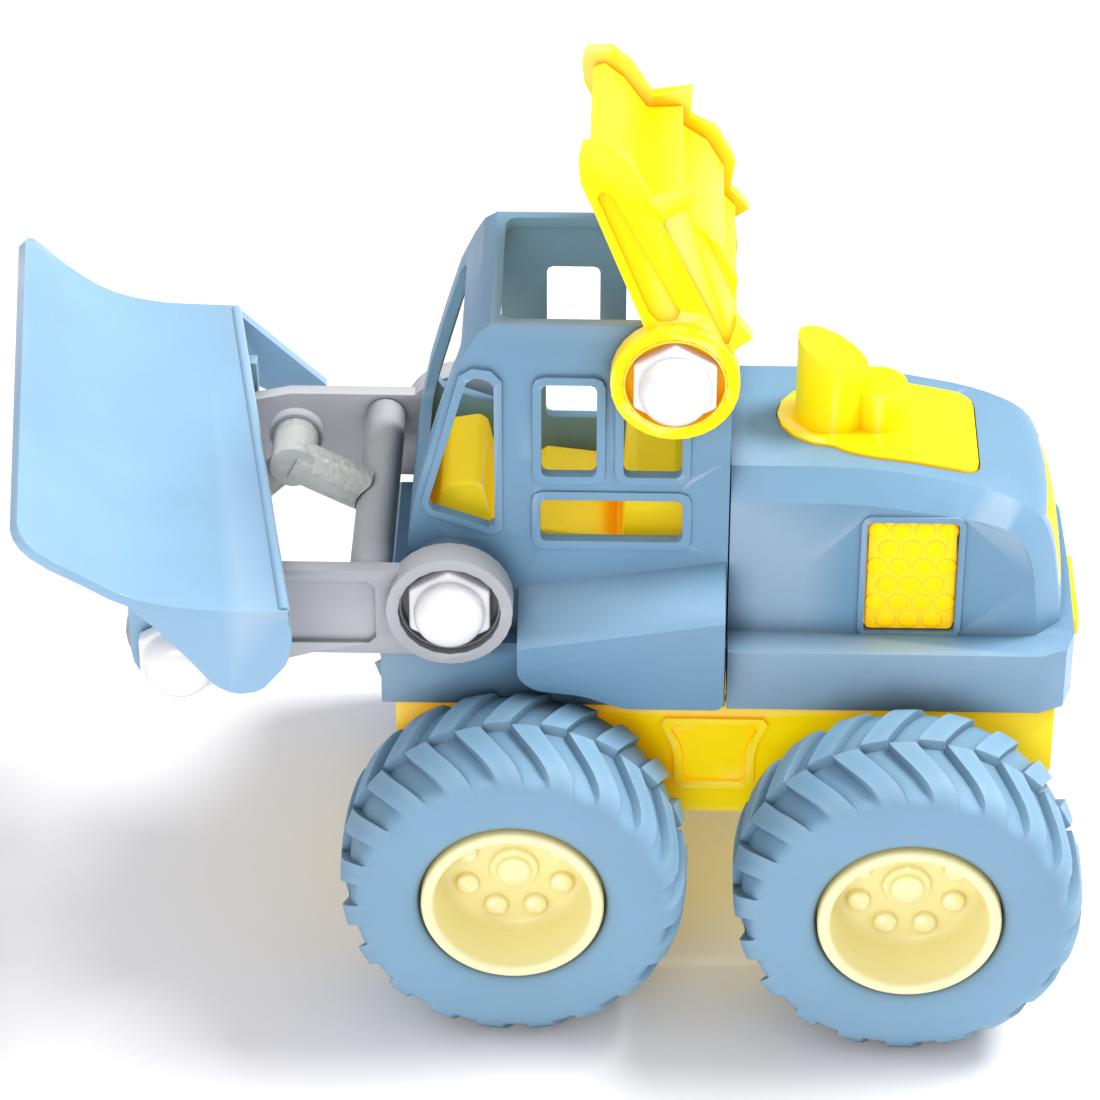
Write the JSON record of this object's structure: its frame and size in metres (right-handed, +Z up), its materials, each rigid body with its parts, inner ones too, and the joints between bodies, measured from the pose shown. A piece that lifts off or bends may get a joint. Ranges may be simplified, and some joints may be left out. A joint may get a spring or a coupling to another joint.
{
  "type": "toy backhoe loader",
  "caption": "Take-apart plastic toy loader: open-roof cab, hood with vents, big lugged tyres, tilting front bucket on a lift frame and a swinging rear boom, held by large round-cap bolts.",
  "frame": {"origin": "middle of the overall footprint, on the ground under the wheels", "axes": "+X forward, towards the bucket; +Y to the vehicle's left; +Z up. Both wheel axles and the three bolt hinges run along Y."},
  "size_m": [0.208, 0.1204, 0.1762],
  "materials": {
    "body_plastic": "satin moulded plastic, blue grey",
    "bucket_plastic": "glossy moulded plastic, light blue",
    "yellow_plastic": "satin moulded plastic, bright yellow",
    "rim_plastic": "satin moulded plastic, cream yellow",
    "tyre_rubber": "matt soft plastic, blue grey",
    "frame_plastic": "lightly textured moulded plastic, grey",
    "bolt_plastic": "glossy moulded plastic, white",
    "steel": "plain zinc plated steel"
  },
  "bodies": {
    "chassis": {"chassis_tub": "yellow_plastic", "cab_shell": "body_plastic", "hood_shell": "body_plastic", "floor_pan": "yellow_plastic", "control_console": "yellow_plastic", "driver_seat": "yellow_plastic", "hood_insert": "yellow_plastic", "rear_grille": "yellow_plastic", "rear_bumper": "yellow_plastic", "chassis_screw_front_left": "steel", "chassis_screw_front_right": "steel", "chassis_screw_rear_left": "steel", "chassis_screw_rear_right": "steel", "side_vent_left": "yellow_plastic", "side_vent_right": "yellow_plastic", "loader_bolt_left": "bolt_plastic", "loader_bolt_right": "bolt_plastic", "boom_bolt_left": "bolt_plastic", "boom_bolt_right": "bolt_plastic"},
    "front_wheels": {"front_axle": "steel", "tyre_front_left": "tyre_rubber", "tyre_front_right": "tyre_rubber", "rim_front_left": "rim_plastic", "rim_front_right": "rim_plastic"},
    "rear_wheels": {"rear_axle": "steel", "tyre_rear_left": "tyre_rubber", "tyre_rear_right": "tyre_rubber", "rim_rear_left": "rim_plastic", "rim_rear_right": "rim_plastic"},
    "loader_frame": {"loader_cross_tube": "frame_plastic", "loader_front_tube": "frame_plastic", "loader_lift_link": "frame_plastic", "loader_arm_left": "frame_plastic", "loader_arm_right": "frame_plastic", "bucket_bolt_left": "bolt_plastic", "bucket_bolt_right": "bolt_plastic"},
    "bucket": {"bucket_shell": "bucket_plastic"},
    "boom": {"boom_scoop": "yellow_plastic", "boom_arm_left": "yellow_plastic", "boom_arm_right": "yellow_plastic"}
  },
  "joints": [
    {"name": "front_axle_spin", "type": "hinge", "parent": "chassis", "child": "front_wheels", "pos_m": [0.00358, 0, 0.033], "axis": [0, 1, 0], "continuous": true},
    {"name": "rear_axle_spin", "type": "hinge", "parent": "chassis", "child": "rear_wheels", "pos_m": [-0.07102, 0, 0.033], "axis": [0, 1, 0], "continuous": true},
    {"name": "loader_lift", "type": "hinge", "parent": "chassis", "child": "loader_frame", "pos_m": [0.01568, 0, 0.0854], "axis": [0, -1, 0], "range_deg": [-30, 12]},
    {"name": "bucket_tilt", "type": "hinge", "parent": "loader_frame", "child": "bucket", "pos_m": [0.06558, 0, 0.078], "axis": [0, -1, 0], "range_deg": [-70, 1]},
    {"name": "boom_swing", "type": "hinge", "parent": "chassis", "child": "boom", "pos_m": [-0.02552, 0, 0.1309], "axis": [0, -1, 0], "range_deg": [-25, 50]}
  ]
}
